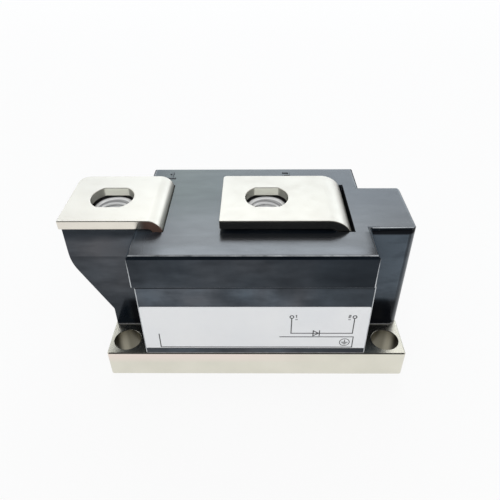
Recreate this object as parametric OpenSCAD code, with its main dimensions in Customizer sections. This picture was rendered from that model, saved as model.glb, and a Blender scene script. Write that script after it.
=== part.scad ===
// Single rectifier diode module with two screw terminals on an insulated base plate.
// Origin: centre of the mounting face. X runs along the base plate, Y to the rear, Z up.

/* [Base plate] */
// Length of the base plate
base_l = 94; // [84:0.5:110]
// Width of the base plate
base_w = 50; // [45:0.5:60]
// Thickness of the base plate
base_t = 9.8; // [9:0.1:14]
// Corner radius of the base plate
base_corner_r = 0.8; // [0.3:0.1:2]
// Distance of a mounting hole's centre from the plate's end
hole_edge_x = 5.5; // [5.2:0.1:6.5]
// Distance of a mounting hole's centre from the plate's long side
hole_edge_y = 6; // [5.5:0.1:7.5]
// Diameter of a mounting hole
hole_d = 8.4; // [5:0.1:9.4]
// Chamfer at the upper rim of a mounting hole
hole_chamfer = 0.2; // [0.1:0.1:0.8]

/* [Housing] */
// Length of plate left beside the middle block at each end
arm_room = 12.8; // [11.5:0.1:15]
// Sideways offset of the housing on the plate, positive to the right
housing_offset = -0.3; // [-0.5:0.1:0.5]
// Distance of the middle block's long walls from the plate's sides
side_inset = 0.3; // [0:0.05:1]
// Height of the housing above its seal
housing_h = 38.25; // [35:0.05:46]
// Height of the parting line above the seal
parting_h = 27.4; // [24:0.1:30]
// Offset of the upper half to the left at the parting line
parting_offset = 0.55; // [0:0.05:0.8]
// Overhang of the upper half past the lower half at each end
parting_overhang = 0.15; // [0:0.05:0.5]
// Overhang of the upper half past the lower half's long walls
parting_side = 0.6; // [0:0.05:0.8]
// Radius of the middle block's upright edges
edge_r = 0.4; // [0.2:0.1:1.6]
// Radius of the edges round the roof
top_r = 1.2; // [0.6:0.1:2.4]
// Thickness of the side walls
wall_t = 2.5; // [1.6:0.1:2.6]
// Thickness of the roof
roof_t = 3; // [2:0.1:4]
// Overhang of the strips past the arms' sides
strip_side = 1.2; // [0.5:0.1:2]
// Distance of the right arm's end from the plate's end
right_arm_inset = 0.2; // [0:0.1:2]
// Depth of the right arm's roof below the middle block's roof
right_arm_drop = 0; // [0:0.05:1]
// Radius of the right arm's upright edges
right_arm_r = 3; // [0.4:0.1:3.5]
// Distance of the left arm's foot from the plate's end
left_foot_inset = 0.7; // [0:0.1:2]
// Height of the left arm's foot above the seal
left_foot_h = 6.8; // [4:0.1:12]
// Reach of the left arm's nose beyond its foot
nose_l = 9.9; // [9:0.1:12]
// Length of the nose's upright face below the roof
nose_h = 12.2; // [9:0.1:14]
// Radius of the bend from the nose into the slope
knee_r = 14; // [3:0.5:18]
// Distance of the moulded terminal numbers from the rear wall
digit_inset = 4.7; // [3.5:0.1:6]
// Distance of the middle terminal's number from its hole
digit_2_offset = 7; // [0:0.5:10]
// Height of the moulded terminal numbers
digit_h = 3.6; // [2.4:0.1:4.5]
// Relief of the moulded terminal numbers
digit_relief = 0.25; // [0.1:0.05:0.4]

/* [Terminals] */
// Gap between the strips and the clamp screws' sleeves, which sets the strips' width
sleeve_gap = 1.1; // [0.8:0.1:3]
// Thickness of both strips
strip_t = 2.8; // [2:0.1:3.5]
// Air gap between the roof and the strips
strip_gap = 0.75; // [0.2:0.05:1.2]
// Radius of the front corner at a strip's free end
strip_front_r = 0.4; // [0.2:0.1:3]
// Radius of the left strip's rear corner
strip_1_rear_r = 3.5; // [0.2:0.1:4]
// Radius of the right strip's rear corner
strip_2_rear_r = 1.2; // [0.2:0.1:4]
// Overhang of the left strip past the nose
strip_overhang = 0.5; // [0:0.05:1.5]
// Distance of the left strip's leg from the block's left end
leg_1_inset = 7.7; // [7:0.1:9]
// Inner bend radius of the left strip
bend_1_r = 1.4; // [1:0.1:3]
// Distance of the right strip's leg from the block's right end
leg_2_inset = 5.7; // [5:0.1:8]
// Inner bend radius of the right strip
bend_2_r = 4.6; // [3:0.1:5.5]
// Gap between the left strip's leg and the right strip's free end
terminal_gap = 16.4; // [14:0.1:20]
// Round part of a terminal hole
terminal_hole_d = 13; // [12:0.1:14]
// Distance between the flats of a terminal hole
terminal_hole_flats = 11; // [10.6:0.1:11.6]
// Distance of the left terminal hole from the strip's end
hole_1_inset = 13.05; // [12:0.05:13.25]
// Distance of the right terminal hole from the strip's end
hole_2_inset = 13.7; // [12:0.1:15]
// Inner radius of the folds at the strips' feet
foot_bend_r = 2; // [1:0.1:3]
// Clearance of the strips in the roof's slots
slot_clearance = 0.2; // [0.1:0.05:0.6]

/* [Terminal nuts] */
// Width across flats of a terminal nut
nut_af = 17; // [16:0.1:18]
// Height of a terminal nut
nut_h = 8; // [6:0.1:10]
// Thread core diameter of a terminal nut
nut_core_d = 8.5; // [8:0.05:8.8]
// Diameter of the countersink at both ends of the nut's thread
nut_countersink_d = 10.8; // [10:0.1:11.5]
// Clearance round a nut in its pocket
nut_clearance = 0.15; // [0.1:0.05:0.3]
// Gap between a nut's upper face and the strip
nut_gap = 0.7; // [0.1:0.05:1]
// Diameter of the room for the screw's end below a nut
screw_room_d = 11; // [10.5:0.1:13]
// Gap between the clamp bridge and the floor under the middle nut
boss_gap = 0.8; // [0.4:0.1:2]

/* [Diode stack] */
// Thickness of the ceramic plate
ceramic_t = 1.2; // [0.8:0.1:2.5]
// Length of the ceramic plate along X
ceramic_l = 40; // [36:0.5:44]
// Gap between the ceramic plate and the clamp screws' sleeves
ceramic_gap = 0.3; // [0.2:0.1:0.8]
// Distance of the silicon wafer's edge from the strips' sides
chip_inset = 1.2; // [1:0.1:4]
// Thickness of the silicon wafer
chip_t = 0.6; // [0.4:0.1:1]
// Thickness of the lower disc
lower_disc_t = 2; // [1.5:0.1:3]
// Rim of the wafer that the upper disc leaves free
chip_rim = 2; // [1:0.1:3]
// Thickness of the upper disc
upper_disc_t = 1.5; // [1.2:0.1:3]
// Wall of the ring round the wafer
ring_wall = 1.5; // [1:0.1:1.6]
// Clearance of the ring round the wafer
ring_clearance = 0.2; // [0.1:0.05:0.3]
// Height of the ring's lip above the wafer
ring_lip = 0.8; // [0.4:0.1:1]
// Depth of the potting above the lower disc's underside
potting_h = 3.4; // [2:0.1:3.8]
// Gap between the potting and what it surrounds
potting_gap = 0.1; // [0.05:0.05:0.3]

/* [Clamp] */
// Thickness of the pressure pad under the springs
pad_t = 3; // [2:0.1:3.5]
// Distance of the pressure pad's edge from the strips' sides
pad_inset = 0.7; // [0:0.1:2]
// Width of the rim that holds the springs
pad_rim_w = 2.2; // [1:0.1:3]
// Height of the rim that holds the springs
pad_rim_h = 1; // [0.5:0.1:1.5]
// Number of nested spring washers
spring_count = 3; // [1:1:3]
// Bore of a spring washer
spring_bore_d = 8.2; // [6:0.1:10]
// Thickness of a spring washer
spring_t = 1; // [0.6:0.1:1.1]
// Free height of a spring washer's cone
spring_cone_h = 0.4; // [0.2:0.1:0.6]
// Gap between nested spring washers
spring_gap = 0.05; // [0.02:0.01:0.1]
// Clearance round the springs inside the rim
spring_clearance = 0.3; // [0.2:0.1:0.6]
// Thickness of the clamp bridge
bridge_t = 4.5; // [3:0.1:5]
// Width of the clamp bridge along X
bridge_w = 16; // [12:0.5:20]
// Clearance between the clamp bridge's ends and the walls
bridge_clearance = 0.3; // [0.2:0.05:0.5]
// Distance of a clamp screw from the bridge's end
clamp_inset = 4.1; // [3.8:0.05:4.6]
// Shank diameter of a clamp screw
clamp_screw_d = 5; // [4:0.1:5]
// Running clearance of a clamp screw on its diameter
clamp_screw_clearance = 0.3; // [0.2:0.05:0.5]
// Depth of the clamp screws in the base plate
clamp_screw_depth = 7; // [5:0.1:7.5]
// Depth of their holes below the screws' ends
clamp_drill_depth = 1; // [0.5:0.1:1.2]
// Rim of a washer around a clamp screw's head
washer_rim = 0.2; // [0.1:0.05:0.5]
// Head height of a clamp screw
clamp_head_h = 5; // [3:0.1:5.5]
// Width across flats of the head's hexagon socket
clamp_socket_af = 4; // [3:0.5:5]
// Thickness of a washer under the head
washer_t = 1; // [0.6:0.1:1.2]
// Wall of an insulating sleeve round a clamp screw
sleeve_wall = 0.75; // [0.5:0.05:0.8]

/* [Seal and label] */
// Thickness of the bond between housing and base plate
seal_t = 0.3; // [0.1:0.05:0.5]
// Distance of the label's ends from the block's round corners
label_margin = 0; // [0:0.1:8]
// Height of the label
label_h = 17.7; // [10:0.1:18.5]
// Height of the label's lower edge above the seal
label_rise = 1.9; // [1:0.1:5]
// Thickness of the label
label_t = 0.12; // [0.08:0.01:0.25]
// Corner radius of the label
label_corner_r = 0.5; // [0.2:0.1:2]

/* [Hidden] */
$fn = 64;
// Overshoot of a cut past the face that it opens
cut = 1;
// Height levels
seat_z = base_t + seal_t;
parting_z = seat_z + parting_h;
roof_z = seat_z + housing_h;
ceiling_z = roof_z - roof_t;
strip_top_z = roof_z + strip_gap + strip_t;
foot_1_z = base_t + ceramic_t;
lower_disc_z = foot_1_z + strip_t;
chip_z = lower_disc_z + lower_disc_t;
upper_disc_z = chip_z + chip_t;
foot_2_z = upper_disc_z + upper_disc_t;
pad_z = foot_2_z + strip_t;
spring_z = pad_z + pad_t;
spring_pitch = spring_t + spring_gap;
bridge_z = spring_z + (spring_count - 1) * spring_pitch + spring_t + spring_cone_h;
washer_z = bridge_z + bridge_t;
head_z = washer_z + washer_t;
nut_z = roof_z + strip_gap - nut_gap - nut_h;
boss_floor_z = washer_z + boss_gap;
screw_room_z = boss_floor_z + wall_t;
// Places along X
block_l = base_l - 2 * arm_room;
block_left_x = housing_offset - block_l / 2;
block_right_x = housing_offset + block_l / 2;
foot_end_x = left_foot_inset - base_l / 2;
nose_x = foot_end_x - nose_l;
right_end_x = base_l / 2 - right_arm_inset;
leg_1_x = block_left_x + leg_1_inset;
leg_2_x = block_right_x - leg_2_inset;
end_1_x = nose_x - strip_overhang;
end_2_x = leg_1_x + terminal_gap;
hole_1_x = end_1_x + hole_1_inset;
hole_2_x = end_2_x + hole_2_inset;
// Widths, from the plate's sides to the middle
block_d = base_w - 2 * side_inset;
front_y = -block_d / 2;
upper_l = block_l + 2 * parting_overhang;
upper_d = block_d + 2 * parting_side;
cavity_l = block_l - 2 * wall_t;
cavity_d = block_d - 2 * wall_t;
bridge_l = cavity_d - 2 * bridge_clearance;
clamp_pitch = bridge_l - 2 * clamp_inset;
screw_hole_d = clamp_screw_d + clamp_screw_clearance;
sleeve_d = screw_hole_d + 2 * sleeve_wall;
washer_d = 2 * clamp_inset;
clamp_head_d = washer_d - 2 * washer_rim;
strip_w = clamp_pitch - sleeve_d - 2 * sleeve_gap;
arm_d = strip_w - 2 * strip_side;
arm_cavity_d = arm_d - 2 * wall_t;
right_hollow_l = right_end_x - block_right_x - wall_t;
left_hollow_l = block_left_x - foot_end_x - wall_t;
ceramic_d = clamp_pitch - sleeve_d - 2 * ceramic_gap;
chip_d = strip_w - 2 * chip_inset;
upper_disc_d = chip_d - 2 * chip_rim;
ring_bore_d = chip_d + 2 * ring_clearance;
ring_d = ring_bore_d + 2 * ring_wall;
ring_h = lower_disc_t + chip_t + ring_lip;
foot_reach = ring_d / 2 + ring_clearance;
pad_d = strip_w - 2 * pad_inset;
spring_d = pad_d - 2 * pad_rim_w - 2 * spring_clearance;
sleeve_h = bridge_z - base_t;
pocket_af = nut_af + 2 * nut_clearance;
boss_af = pocket_af + 2 * wall_t;
label_l = block_l - 2 * edge_r - 2 * label_margin;
// Stroke of the moulded numbers
stroke = digit_h / 6;
digit_w = digit_h / 2;
digit_y = block_d / 2 - digit_inset - (digit_h + stroke) / 2;

// Rectangle with round corners, about its centre
module rounded_rect(l, d, r) {
    square([l - 2 * r, d], center = true);
    square([l, d - 2 * r], center = true);
    for (sx = [-1, 1], sy = [-1, 1])
        translate([sx * (l / 2 - r), sy * (d / 2 - r)]) circle(r);
}

// Section of a block whose two upper edges are round
module round_top_section(w, h) {
    translate([-w / 2, 0]) square([w, h - top_r]);
    translate([-w / 2 + top_r, 0]) square([w - 2 * top_r, h]);
    for (s = [-1, 1]) translate([s * (w / 2 - top_r), h - top_r]) circle(top_r);
}

// Block on its lower face, with round upright edges and a round edge about its top
module rounded_block(l, d, h, r) {
    intersection() {
        linear_extrude(h) rounded_rect(l, d, r);
        rotate([90, 0, 0]) linear_extrude(d, center = true) round_top_section(l, h);
        rotate([90, 0, 90]) linear_extrude(l, center = true) round_top_section(d, h);
    }
}

// Hexagonal prism with flats to the front and the rear
module hexagon(af, h) {
    cylinder(h = h, d = af / cos(30), $fn = 6);
}

// Places of the two clamp screws
module at_clamp_screws() {
    for (s = [-1, 1]) translate([0, s * clamp_pitch / 2, 0]) children();
}

// Ground that the housing covers
module housing_footprint() {
    translate([housing_offset, 0]) rounded_rect(block_l, block_d, edge_r);
    translate([right_end_x / 2, 0]) rounded_rect(right_end_x, arm_d, right_arm_r);
    translate([foot_end_x / 2, 0]) square([-foot_end_x, arm_d], center = true);
}

// Hollows in the housing at its foot
module hollow_footprint() {
    translate([housing_offset, 0]) square([cavity_l, cavity_d], center = true);
    translate([block_right_x, -arm_cavity_d / 2]) square([right_hollow_l, arm_cavity_d]);
    translate([foot_end_x + wall_t, -arm_cavity_d / 2]) square([left_hollow_l, arm_cavity_d]);
}

// Side view of the left arm, from the foot up the slope to the nose and the roof
module left_arm_section() {
    slope_h = housing_h - nose_h - left_foot_h;
    turn = atan2(nose_l, slope_h);
    knee_z = roof_z - nose_h;
    back = knee_r * tan(turn / 2);
    inner_x = block_left_x + wall_t;
    polygon([[inner_x, seat_z], [foot_end_x, seat_z], [foot_end_x, seat_z + left_foot_h],
             [nose_x + back * sin(turn), knee_z - back * cos(turn)], [nose_x, knee_z + back],
             [nose_x, roof_z], [inner_x, roof_z]]);
    intersection() {
        translate([nose_x + knee_r, knee_z + back]) circle(knee_r);
        translate([nose_x, seat_z]) square([knee_r, knee_z + back - seat_z]);
    }
}

// Room for a terminal nut and for the end of its screw
module nut_room(x) {
    translate([x, 0, nut_z]) hexagon(pocket_af, roof_z - nut_z + cut);
    translate([x, 0, screw_room_z]) cylinder(h = nut_z - screw_room_z + cut, d = screw_room_d);
}

// Plastic round the room of the middle nut, hanging from the roof
module nut_boss(x) {
    translate([x, 0, boss_floor_z]) hexagon(boss_af, ceiling_z - boss_floor_z + cut);
}

// Slot in the roof, with a lip that follows the strip's bend
module strip_slot(leg_x, bend_r) {
    bend_x = leg_x - strip_t - bend_r;
    bend_z = strip_top_z - strip_t - bend_r;
    lip_r = bend_r - slot_clearance;
    low_z = boss_floor_z - cut;
    slot_w = strip_w + 2 * slot_clearance;
    rotate([90, 0, 0]) linear_extrude(slot_w, center = true) difference() {
        translate([bend_x, low_z]) square([leg_x + slot_clearance - bend_x, roof_z + cut - low_z]);
        translate([bend_x, bend_z]) circle(lip_r);
        translate([bend_x - cut, low_z - cut]) square([lip_r + cut, bend_z - low_z + cut]);
    }
}

// Raised number made of upright and level strokes, read from the front
module digit(strokes) {
    for (s = strokes)
        translate([s[0] * digit_w, s[1] * digit_h, 0])
            cube([s[2] * digit_w + stroke, s[3] * digit_h + stroke, digit_relief]);
}

module base_plate() {
    color("lightgray") difference() {
        linear_extrude(base_t) rounded_rect(base_l, base_w, base_corner_r);
        for (sx = [-1, 1], sy = [-1, 1])
            translate([sx * (base_l / 2 - hole_edge_x), sy * (base_w / 2 - hole_edge_y), 0]) {
                translate([0, 0, -cut]) cylinder(h = base_t + 2 * cut, d = hole_d);
                translate([0, 0, base_t - hole_chamfer])
                    cylinder(h = 2 * hole_chamfer, d1 = hole_d, d2 = hole_d + 4 * hole_chamfer);
            }
        at_clamp_screws() translate([0, 0, base_t - clamp_screw_depth - clamp_drill_depth])
            cylinder(h = clamp_screw_depth + clamp_drill_depth + cut, d = clamp_screw_d);
    }
}

module seal_frame() {
    color("dimgray") translate([0, 0, base_t]) linear_extrude(seal_t) difference() {
        housing_footprint();
        hollow_footprint();
    }
}

module housing() {
    color("#25272a") {
        difference() {
            union() {
                translate([housing_offset, 0, seat_z]) linear_extrude(parting_h)
                    rounded_rect(block_l, block_d, edge_r);
                translate([housing_offset - parting_offset, 0, parting_z])
                    rounded_block(upper_l, upper_d, housing_h - parting_h, edge_r);
                translate([right_end_x / 2, 0, seat_z])
                    rounded_block(right_end_x, arm_d, housing_h - right_arm_drop, right_arm_r);
                rotate([90, 0, 0]) linear_extrude(arm_d, center = true) left_arm_section();
            }
            difference() {
                translate([block_left_x + wall_t, -cavity_d / 2, seat_z - cut])
                    cube([cavity_l, cavity_d, ceiling_z - seat_z + cut]);
                nut_boss(hole_2_x);
            }
            translate([block_right_x, -arm_cavity_d / 2, seat_z - cut])
                cube([right_hollow_l, arm_cavity_d, ceiling_z - seat_z + cut]);
            translate([foot_end_x + wall_t, -arm_cavity_d / 2, seat_z - cut])
                cube([left_hollow_l, arm_cavity_d, boss_floor_z - seat_z + cut]);
            nut_room(hole_1_x);
            nut_room(hole_2_x);
            strip_slot(leg_1_x, bend_1_r);
            strip_slot(leg_2_x, bend_2_r);
        }
        translate([leg_1_x - (strip_t + digit_w + stroke) / 2, digit_y, roof_z])
            digit([[0, 0, 1, 0], [0.5, 0, 0, 1], [0.15, 0.8, 0.35, 0]]);
        translate([hole_2_x + digit_2_offset - (digit_w + stroke) / 2, digit_y, roof_z])
            digit([[0, 0, 1, 0], [0, 0.5, 1, 0], [0, 1, 1, 0], [0, 0, 0, 0.5], [1, 0.5, 0, 0.5]]);
    }
}

// Copper strip: a flat tongue with the screw hole, a bend, a leg and a foot in the stack
module terminal_strip(end_x, rear_r, leg_x, bend_r, hole_x, foot_z, foot_side) {
    bend_x = leg_x - strip_t - bend_r;
    bend_z = strip_top_z - strip_t - bend_r;
    fold_x = foot_side > 0 ? leg_x + foot_bend_r : leg_x - strip_t - foot_bend_r;
    fold_z = foot_z + strip_t + foot_bend_r;
    difference() {
        union() {
            translate([0, 0, strip_top_z - strip_t]) linear_extrude(strip_t) {
                translate([end_x + strip_front_r, -strip_w / 2])
                    square([bend_x - end_x - strip_front_r, strip_w / 2]);
                translate([end_x + rear_r, 0]) square([bend_x - end_x - rear_r, strip_w / 2]);
                translate([end_x, strip_front_r - strip_w / 2])
                    square([2 * rear_r + strip_front_r, strip_w - strip_front_r - rear_r]);
                translate([end_x + strip_front_r, strip_front_r - strip_w / 2]) circle(strip_front_r);
                translate([end_x + rear_r, strip_w / 2 - rear_r]) circle(rear_r);
            }
            rotate([90, 0, 0]) linear_extrude(strip_w, center = true) {
                translate([bend_x, bend_z]) quarter_ring(bend_r, 0);
                translate([leg_x - strip_t, fold_z]) square([strip_t, bend_z - fold_z]);
                translate([fold_x, fold_z]) quarter_ring(foot_bend_r, foot_side > 0 ? 180 : 270);
                if (foot_side > 0) translate([fold_x, foot_z]) square([foot_reach - fold_x, strip_t]);
                else translate([-foot_reach, foot_z]) square([fold_x + foot_reach, strip_t]);
            }
        }
        translate([hole_x, 0, strip_top_z - strip_t - cut]) intersection() {
            cylinder(h = strip_t + 2 * cut, d = terminal_hole_d);
            translate([-terminal_hole_d, -terminal_hole_flats / 2, 0])
                cube([2 * terminal_hole_d, terminal_hole_flats, strip_t + 2 * cut]);
        }
    }
}

// Quarter of a folded strip's bend about its own centre
module quarter_ring(r, turn) {
    rotate(turn) intersection() {
        difference() {
            circle(r + strip_t);
            circle(r);
        }
        square(r + strip_t);
    }
}

module terminal_1() {
    color("gainsboro") terminal_strip(end_1_x, strip_1_rear_r, leg_1_x, bend_1_r, hole_1_x, foot_1_z, 1);
}

module terminal_2() {
    color("gainsboro") terminal_strip(end_2_x, strip_2_rear_r, leg_2_x, bend_2_r, hole_2_x, foot_2_z, -1);
}

// Hexagon nut with chamfered corners and a countersunk thread core
module terminal_nut(x) {
    corner_d = nut_af / cos(30);
    edge_h = (corner_d - nut_af) / 2 * tan(30);
    sink_h = (nut_countersink_d - nut_core_d) / 2;
    translate([x, 0, nut_z]) difference() {
        intersection() {
            hexagon(nut_af, nut_h);
            rotate_extrude() polygon([[0, 0], [nut_af / 2, 0], [corner_d / 2, edge_h],
                                      [corner_d / 2, nut_h - edge_h], [nut_af / 2, nut_h], [0, nut_h]]);
        }
        translate([0, 0, -cut]) cylinder(h = nut_h + 2 * cut, d = nut_core_d);
        translate([0, 0, nut_h - sink_h])
            cylinder(h = 2 * sink_h, d1 = nut_core_d, d2 = 2 * nut_countersink_d - nut_core_d);
        translate([0, 0, -sink_h])
            cylinder(h = 2 * sink_h, d1 = 2 * nut_countersink_d - nut_core_d, d2 = nut_core_d);
    }
}

module terminal_nut_1() {
    color("silver") terminal_nut(hole_1_x);
}

module terminal_nut_2() {
    color("silver") terminal_nut(hole_2_x);
}

module label() {
    color("whitesmoke") translate([housing_offset, front_y, seat_z + label_rise + label_h / 2])
        rotate([90, 0, 0]) linear_extrude(label_t) rounded_rect(label_l, label_h, label_corner_r);
}

module insulator_plate() {
    color("ivory") translate([-ceramic_l / 2, -ceramic_d / 2, base_t])
        cube([ceramic_l, ceramic_d, ceramic_t]);
}

module lower_disc() {
    color("slategray") translate([0, 0, lower_disc_z]) cylinder(h = lower_disc_t, d = chip_d);
}

module diode_chip() {
    color("darkslateblue") translate([0, 0, chip_z]) cylinder(h = chip_t, d = chip_d);
}

module chip_ring() {
    color("firebrick") translate([0, 0, lower_disc_z]) difference() {
        cylinder(h = ring_h, d = ring_d);
        translate([0, 0, -cut]) cylinder(h = ring_h + 2 * cut, d = ring_bore_d);
    }
}

module upper_disc() {
    color("slategray") translate([0, 0, upper_disc_z]) cylinder(h = upper_disc_t, d = upper_disc_d);
}

module pressure_pad() {
    color("wheat") translate([0, 0, pad_z]) difference() {
        cylinder(h = pad_t + pad_rim_h, d = pad_d);
        translate([0, 0, pad_t]) cylinder(h = pad_rim_h + cut, d = spring_d + 2 * spring_clearance);
    }
}

module disc_springs() {
    color("steelblue") for (k = [0:spring_count - 1])
        translate([0, 0, spring_z + k * spring_pitch]) rotate_extrude()
            polygon([[spring_d / 2, 0], [spring_d / 2, spring_t],
                     [spring_bore_d / 2, spring_t + spring_cone_h], [spring_bore_d / 2, spring_cone_h]]);
}

module clamp_bridge() {
    color("gray") translate([0, 0, bridge_z]) difference() {
        translate([-bridge_w / 2, -bridge_l / 2, 0]) cube([bridge_w, bridge_l, bridge_t]);
        at_clamp_screws() translate([0, 0, -cut]) cylinder(h = bridge_t + 2 * cut, d = screw_hole_d);
    }
}

module clamp_screws() {
    color("dimgray") at_clamp_screws() difference() {
        union() {
            translate([0, 0, base_t - clamp_screw_depth])
                cylinder(h = head_z - base_t + clamp_screw_depth, d = clamp_screw_d);
            translate([0, 0, head_z]) cylinder(h = clamp_head_h, d = clamp_head_d);
        }
        translate([0, 0, head_z + clamp_head_h / 2]) hexagon(clamp_socket_af, clamp_head_h);
    }
}

module screw_washers() {
    color("gray") at_clamp_screws() translate([0, 0, washer_z]) difference() {
        cylinder(h = washer_t, d = washer_d);
        translate([0, 0, -cut]) cylinder(h = washer_t + 2 * cut, d = screw_hole_d);
    }
}

module screw_sleeves() {
    color("tan") at_clamp_screws() translate([0, 0, base_t]) difference() {
        cylinder(h = sleeve_h, d = sleeve_d);
        translate([0, 0, -cut]) cylinder(h = sleeve_h + 2 * cut, d = screw_hole_d);
    }
}

// Soft fill on the base plate, cut clear of the pieces that stand in it
module potting() {
    level = lower_disc_z + potting_h;
    g = potting_gap;
    color("lightsteelblue") difference() {
        translate([block_left_x + wall_t + g, -cavity_d / 2 + g, base_t])
            cube([cavity_l - 2 * g, cavity_d - 2 * g, level - base_t]);
        translate([-ceramic_l / 2 - g, -ceramic_d / 2 - g, base_t - cut])
            cube([ceramic_l + 2 * g, ceramic_d + 2 * g, ceramic_t + g + cut]);
        translate([leg_1_x - strip_t - g, -strip_w / 2 - g, foot_1_z - g])
            cube([foot_reach - leg_1_x + strip_t + 2 * g, strip_w + 2 * g, strip_t + 2 * g]);
        translate([leg_1_x - strip_t - g, -strip_w / 2 - g, foot_1_z - g])
            cube([strip_t + foot_bend_r + 2 * g, strip_w + 2 * g, level]);
        translate([0, 0, foot_1_z]) cylinder(h = level, d = ring_d + 2 * g);
        at_clamp_screws() translate([0, 0, base_t - cut]) cylinder(h = level, d = sleeve_d + 2 * g);
    }
}

base_plate();
seal_frame();
housing();
terminal_1();
terminal_2();
terminal_nut_1();
terminal_nut_2();
label();
insulator_plate();
lower_disc();
diode_chip();
chip_ring();
upper_disc();
pressure_pad();
disc_springs();
clamp_bridge();
clamp_screws();
screw_washers();
screw_sleeves();
potting();
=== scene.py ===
import math
from functools import cached_property

import bmesh
import bpy
from mathutils import Matrix, Vector


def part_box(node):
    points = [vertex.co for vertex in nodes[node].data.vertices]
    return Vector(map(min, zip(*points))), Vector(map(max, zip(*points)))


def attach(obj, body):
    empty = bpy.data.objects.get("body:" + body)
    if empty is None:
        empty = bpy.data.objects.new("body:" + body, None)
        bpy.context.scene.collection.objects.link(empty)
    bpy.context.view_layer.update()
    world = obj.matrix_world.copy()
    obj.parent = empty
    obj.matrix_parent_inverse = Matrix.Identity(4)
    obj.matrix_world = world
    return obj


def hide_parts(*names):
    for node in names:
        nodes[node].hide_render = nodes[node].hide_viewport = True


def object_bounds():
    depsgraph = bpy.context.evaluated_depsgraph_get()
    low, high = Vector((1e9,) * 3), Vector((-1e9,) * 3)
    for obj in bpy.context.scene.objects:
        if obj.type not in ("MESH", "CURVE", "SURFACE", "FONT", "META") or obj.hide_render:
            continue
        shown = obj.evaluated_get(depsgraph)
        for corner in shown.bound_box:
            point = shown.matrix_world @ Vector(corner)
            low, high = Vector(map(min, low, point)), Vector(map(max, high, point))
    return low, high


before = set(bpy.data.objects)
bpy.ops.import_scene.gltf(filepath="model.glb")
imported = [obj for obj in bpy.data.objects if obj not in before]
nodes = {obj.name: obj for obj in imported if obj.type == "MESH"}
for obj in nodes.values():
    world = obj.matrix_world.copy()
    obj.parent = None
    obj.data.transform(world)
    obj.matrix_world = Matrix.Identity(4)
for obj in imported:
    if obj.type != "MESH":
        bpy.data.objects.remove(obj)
cad_low, cad_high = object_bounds()

# Lengths are in millimetres unless a name or a comment says otherwise
MM = 0.001
WHITE = (1.0, 1.0, 1.0)
BLACK = (0.0, 0.0, 0.0)
BODY = "root"

# Camera of the photograph
IMAGE_PX = 500
FOCAL_PX = 492.7
CENTRE_PX = (250.54, 248.0)
SENSOR = 36.0
CLIP_START_M = 0.005
CAMERA_AT = (0.1, -128.9, 129.0)
CAMERA_YAW_DEG = -0.816
CAMERA_PITCH_DEG = 36.809
CAMERA_ROLL_DEG = 0.55


def add_camera():
    data = bpy.data.cameras.new("photo_camera")
    data.sensor_width = SENSOR
    data.lens = SENSOR * FOCAL_PX / IMAGE_PX
    data.shift_x = 0.5 - CENTRE_PX[0] / IMAGE_PX
    data.shift_y = CENTRE_PX[1] / IMAGE_PX - 0.5
    data.clip_start = CLIP_START_M
    camera = bpy.data.objects.new("photo_camera", data)
    heading = Matrix.Rotation(math.radians(-CAMERA_YAW_DEG), 4, "Z")
    tilt = Matrix.Rotation(math.radians(90 - CAMERA_PITCH_DEG), 4, "X")
    roll = Matrix.Rotation(math.radians(-CAMERA_ROLL_DEG), 4, "Z")
    place = Matrix.Translation(Vector(CAMERA_AT) * MM)
    camera.matrix_world = place @ heading @ tilt @ roll
    bpy.context.scene.collection.objects.link(camera)
    bpy.context.scene.camera = camera


# Noise: the middle of its values, and how fine its patches, smears and grain are
NOISE_SPAN = (0.3, 0.7)
PATCH_DETAIL = 3.0
SMEAR_DETAIL = 4.0
GRAIN_DETAIL = 2.0


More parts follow.
